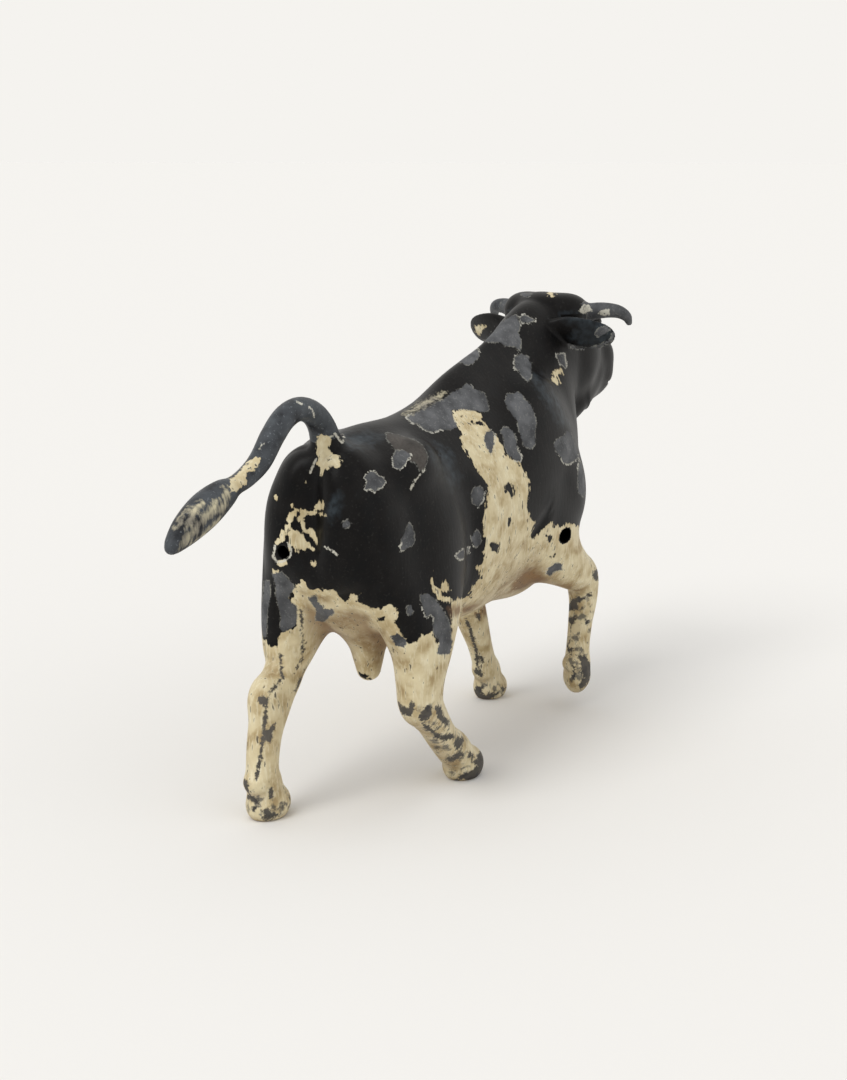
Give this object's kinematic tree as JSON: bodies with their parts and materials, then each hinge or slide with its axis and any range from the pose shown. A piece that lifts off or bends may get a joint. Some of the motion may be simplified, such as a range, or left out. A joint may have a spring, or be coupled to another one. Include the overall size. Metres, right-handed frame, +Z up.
{
  "type": "bull figurine",
  "caption": "Striding toy farm bull in hollow-cast painted lead, tail raised and one forefoot lifted, soldered up from half shells, head, limbs, horns, ears and tail.",
  "frame": {"origin": "on the ground, under the middle of the overall box in X and Y", "axes": "+X from tail to muzzle, +Y to the animal's left, +Z up"},
  "size_m": [0.106, 0.0224, 0.0587],
  "materials": {
    "black_enamel": "gloss enamel brushed over lead, chipped",
    "cream_enamel": "satin enamel brushed over lead, speckled and chipped",
    "bare_lead": "bare cast lead, dull grey, with a little paint left",
    "solder": "bare soft solder"
  },
  "bodies": {
    "root": {"body_left": "black_enamel", "body_right": "black_enamel", "head": "black_enamel", "left_ear": "black_enamel", "right_ear": "black_enamel", "hind_right_leg": "cream_enamel", "hind_left_leg": "cream_enamel", "front_left_leg": "cream_enamel", "front_right_leg": "cream_enamel", "tail": "bare_lead", "left_horn": "bare_lead", "right_horn": "bare_lead", "belly_solder": "solder", "back_solder": "solder"}
  },
  "joints": []
}
